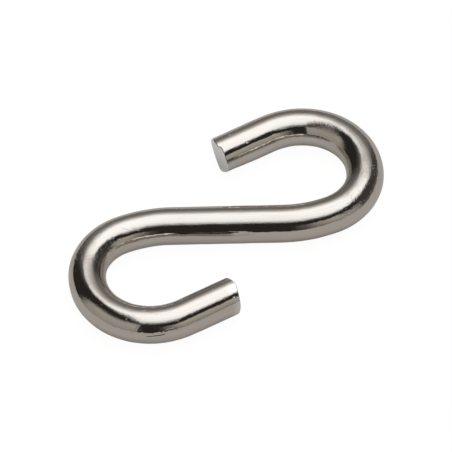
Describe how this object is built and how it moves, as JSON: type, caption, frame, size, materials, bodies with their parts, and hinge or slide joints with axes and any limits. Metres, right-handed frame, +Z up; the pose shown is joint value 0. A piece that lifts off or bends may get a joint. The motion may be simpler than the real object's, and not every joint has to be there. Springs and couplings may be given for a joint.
{
  "type": "s hook",
  "caption": "S-shaped hook bent from one length of round wire, with a wide open eye at each end for a ring, link or cord, and sheared wire ends.",
  "frame": {"origin": "middle of the hook on the surface it lies on: centre of its outline in x and y, underside of the wire in z", "axes": "+X through the middles of both crowns, the hook's longest way, towards the eye; +Z up, square to the plane the hook is bent in"},
  "size_m": [0.0372, 0.02, 0.004],
  "materials": {
    "wire": "bright nickel-plated steel wire, polished, with fine pits, faint drawing lines and small bending marks"
  },
  "bodies": {
    "root": {"hook": "wire"}
  },
  "joints": []
}
